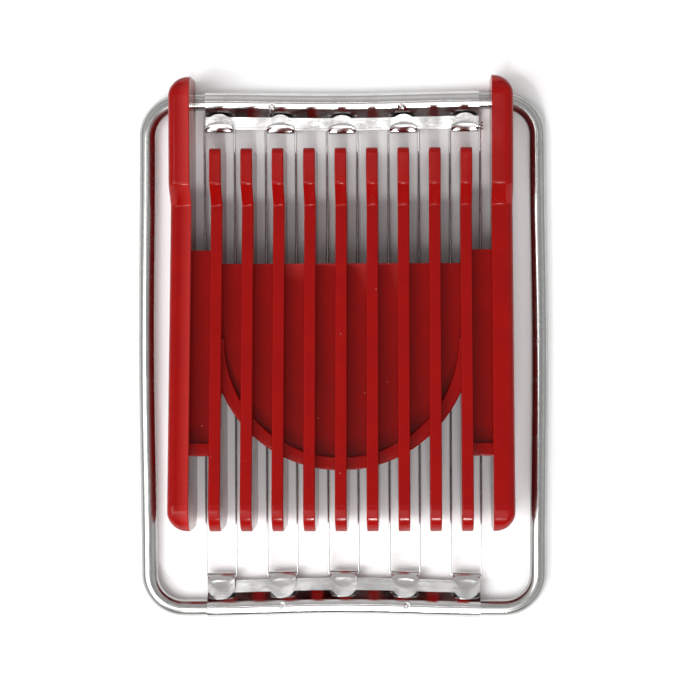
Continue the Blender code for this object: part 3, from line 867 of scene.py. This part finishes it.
def steel(name, tones, rough, stretch, attribute, dents):
    """Bright formed steel: drawing or rolling marks along it, faint smudges and small uneven places."""
    n = Nodes(name)
    n.shader.inputs["Metallic"].default_value = 1.0
    marks = n.noise(1.0, 2, 0.6, stretch, attribute)
    smudge = n.noise(220, 4, 0.6)
    uneven = n.noise(180, 1, 0.5)
    tone = n.mix(n.ramp(smudge, "Fac", 0, 1, 0.4, 0.7), "Result", *tones)
    n.link(tone, MIX_RESULT, n.shader, "Base Color")
    varied = n.add("ShaderNodeMath", operation="ADD")
    n.link(n.ramp(smudge, "Fac", rough - 0.04, rough + 0.08), "Result", varied, 0)
    n.link(n.ramp(marks, "Fac", -0.03, 0.05, 0.3, 0.7), "Result", varied, 1)
    n.link(varied, "Value", n.shader, "Roughness")
    fine = n.bump(marks, "Fac", 0.3, 0.0000015)
    broad = n.bump(uneven, "Fac", 0.5, dents, fine)
    n.link(broad, "Normal", n.shader, "Normal")
    return n.material


def red_plastic():
    """Moulded plastic, half gloss: a fine skin, faint scuffs, a painted highlight of paler red along convex
    edges and a little dust.
    """
    n = Nodes("red_moulded_plastic")
    n.shader.inputs["Specular IOR Level"].default_value = 0.12
    cloud = n.noise(160, 4, 0.6)
    scuff = n.noise(1.0, 3, 0.65, (900, 90, 300))
    grain = n.noise(2600, 2, 0.5)
    swell = n.noise(260, 2, 0.5)
    base = n.mix(n.ramp(cloud, "Fac", 0, 1), "Result", *RED_TONES)
    edge = n.add("ShaderNodeNewGeometry")
    # Convex edges (by Pointiness) are mixed towards a paler red: a painted edge highlight
    edge_highlight_mask = n.ramp(edge, "Pointiness", 0, 0.35, 0.53, 0.62)
    edge_highlighted = n.add("ShaderNodeMix", data_type="RGBA")
    n.link(edge_highlight_mask, "Result", edge_highlighted, MIX_FACTOR)
    n.link(base, MIX_RESULT, edge_highlighted, MIX_FIRST)
    edge_highlighted.inputs[MIX_SECOND].default_value = PAINTED_EDGE_HIGHLIGHT
    spots = n.add("ShaderNodeTexVoronoi", Scale=420.0)
    n.link(n.coordinates((1, 1, 1)), "Vector", spots, "Vector")
    speck = n.ramp(spots, "Distance", 1, 0, 0.02, 0.045)
    rare = n.add("ShaderNodeSeparateColor")
    n.link(spots, "Color", rare, "Color")
    chosen = n.ramp(rare, "Red", 0, 1, 0.90, 0.91)
    both = n.add("ShaderNodeMath", operation="MULTIPLY")
    n.link(speck, "Result", both, 0)
    n.link(chosen, "Result", both, 1)
    dusty = n.add("ShaderNodeMix", data_type="RGBA")
    n.link(both, "Value", dusty, MIX_FACTOR)
    n.link(edge_highlighted, MIX_RESULT, dusty, MIX_FIRST)
    dusty.inputs[MIX_SECOND].default_value = DUST
    n.link(dusty, MIX_RESULT, n.shader, "Base Color")
    rough = n.add("ShaderNodeMath", operation="ADD")
    n.link(n.ramp(cloud, "Fac", 0.12, 0.17), "Result", rough, 0)
    n.link(n.ramp(scuff, "Fac", 0.0, 0.07, 0.5, 0.75), "Result", rough, 1)
    n.link(rough, "Value", n.shader, "Roughness")
    fine = n.bump(grain, "Fac", 0.25, 0.00001)
    broad = n.bump(swell, "Fac", 0.4, 0.00004, fine)
    n.link(broad, "Normal", n.shader, "Normal")
    return n.material


def floor_material():
    n = Nodes("pale_floor")
    tone = n.noise(6, 3, 0.5)
    shade = n.mix(n.ramp(tone, "Fac", 0, 1), "Result", *FLOOR_TONES)
    n.link(shade, MIX_RESULT, n.shader, "Base Color")
    n.shader.inputs["Roughness"].default_value = 0.7
    n.shader.inputs["Specular IOR Level"].default_value = 0.1
    return n.material


# Camera and light

LENS = 122.6
SENSOR_WIDTH = 36
# Each light: its name, place, the point it faces, its two side lengths and its power
LIGHTS = (
    ("key", (-0.45, -0.24, 0.72), (0, 0, 0), (0.62, 0.62), 6.7),
    ("front_card", (-0.01, -0.42, 0.78), (0, 0, 0), (0.26, 0.50), 1.1),
    ("overhead_card", (-0.045, 0.176, 1.5), (-0.045, 0.176, 0), (0.28, 0.07), 0.22),
    ("window", (0.02, -0.83, 0.56), (0, 0, 0), (0.12, 0.09), 4.0),
)
# The room's brightness at the Z of a direction: near the floor, high on the walls and straight overhead
ROOM_LOW = (0.02, 0.45)
ROOM_WALLS = (0.6, 1.0)
ROOM_OVERHEAD = (0.97, 0.55)
ROOM_STRENGTH = 0.95
# Towards the front the room fades to this share, between these two values of a direction's Y
FRONT_SHARE = 0.2
FRONT_FADE = (-0.95, -0.75)
FLOOR_HALF_WIDTH = 1.5


def aim(obj, target):
    direction = Vector(target) - obj.location
    obj.rotation_euler = direction.to_track_quat("-Z", "Y").to_euler()


def camera():
    data = bpy.data.cameras.new("camera")
    data.lens = LENS
    data.sensor_width = SENSOR_WIDTH
    data.clip_start = 0.01
    obj = bpy.data.objects.new("camera", data)
    bpy.context.scene.collection.objects.link(obj)
    obj.location = CAMERA_PLACE
    obj.rotation_euler = CAMERA_TURN
    bpy.context.scene.camera = obj


def area_light(name, location, target, size, power):
    data = bpy.data.lights.new(name, "AREA")
    data.shape = "RECTANGLE"
    data.size = size[0]
    data.size_y = size[1]
    data.energy = power
    obj = bpy.data.objects.new(name, data)
    bpy.context.scene.collection.objects.link(obj)
    obj.location = location
    aim(obj, target)
    return obj


def grey(value):
    return (value, value, value, 1)


def surroundings():
    """A white room, darker near the floor, straight overhead and at the front beyond the window light."""
    world = bpy.data.worlds.new("studio")
    bpy.context.scene.world = world
    world.use_nodes = True
    tree = world.node_tree
    sky = tree.nodes["Background"]
    coordinate = tree.nodes.new("ShaderNodeTexCoord")
    split = tree.nodes.new("ShaderNodeSeparateXYZ")
    ramp = tree.nodes.new("ShaderNodeValToRGB")
    tree.links.new(coordinate.outputs["Generated"], split.inputs["Vector"])
    tree.links.new(split.outputs["Z"], ramp.inputs["Fac"])
    front = tree.nodes.new("ShaderNodeMapRange")
    front.inputs["From Min"].default_value = FRONT_FADE[0]
    front.inputs["From Max"].default_value = FRONT_FADE[1]
    front.inputs["To Min"].default_value = FRONT_SHARE
    front.inputs["To Max"].default_value = 1.0
    tree.links.new(split.outputs["Y"], front.inputs["Value"])
    shade = tree.nodes.new("ShaderNodeMix")
    shade.data_type = "RGBA"
    shade.inputs[MIX_FIRST].default_value = grey(0)
    tree.links.new(front.outputs["Result"], shade.inputs[MIX_FACTOR])
    tree.links.new(ramp.outputs["Color"], shade.inputs[MIX_SECOND])
    tree.links.new(shade.outputs[MIX_RESULT], sky.inputs["Color"])
    low, overhead = ramp.color_ramp.elements
    low.position, low.color = ROOM_LOW[0], grey(ROOM_LOW[1])
    overhead.position, overhead.color = ROOM_OVERHEAD[0], grey(ROOM_OVERHEAD[1])
    walls = ramp.color_ramp.elements.new(ROOM_WALLS[0])
    walls.color = grey(ROOM_WALLS[1])
    sky.inputs["Strength"].default_value = ROOM_STRENGTH


def floor():
    body = bmesh.new()
    bmesh.ops.create_grid(body, x_segments=8, y_segments=8, size=FLOOR_HALF_WIDTH)
    obj = mesh_from("floor", body, bpy.context.scene.collection)
    obj.data.materials.append(floor_material())


def main():
    camera()
    surroundings()
    floor()
    for light in LIGHTS:
        area_light(*light)

    rods = steel("rod_steel_drawn", ROD_TONES, 0.18, DRAWN_MARKS, "lay", 0.000004)
    bright = steel("sleeve_steel_rolled", SLEEVE_TONES, 0.14, ROLLED_MARKS, None, 0.000004)
    wires = steel("wire_steel_drawn", WIRE_TONES, 0.16, DRAWN_MARKS, "lay", 0.000001)
    red = red_plastic()

    for name, side in (("left_frame_rod", -1), ("right_frame_rod", 1)):
        rod = tube(name + "_drawn", rod_path(side), ROD_RADIUS, 32, False)
        smooth(rod)
        place(rod, "wire_frame", "frame_steel", rods, name)
    for name, bar in (("hinge_sleeve", HINGE_BAR), ("grip_sleeve", GRIP_BAR)):
        place(sleeve(name + "_folded", bar), "wire_frame", "sleeve_steel", bright, name)
    for i, x in enumerate(TAB_CENTRES, 1):
        loop = tube(f"wire_loop_{i}_drawn", wire_path(x), WIRE_RADIUS, 10, True)
        smooth(loop, 50)
        place(loop, "wire_frame", "wire_steel", wires, f"wire_loop_{i}")
    place(wire_knot(), "wire_frame", "wire_steel", wires)
    place(egg_holder(), "egg_holder", "red_plastic", red, "egg_holder")

    bpy.data.collections.remove(helpers)
    bpy.context.scene.view_settings.view_transform = "Standard"


main()
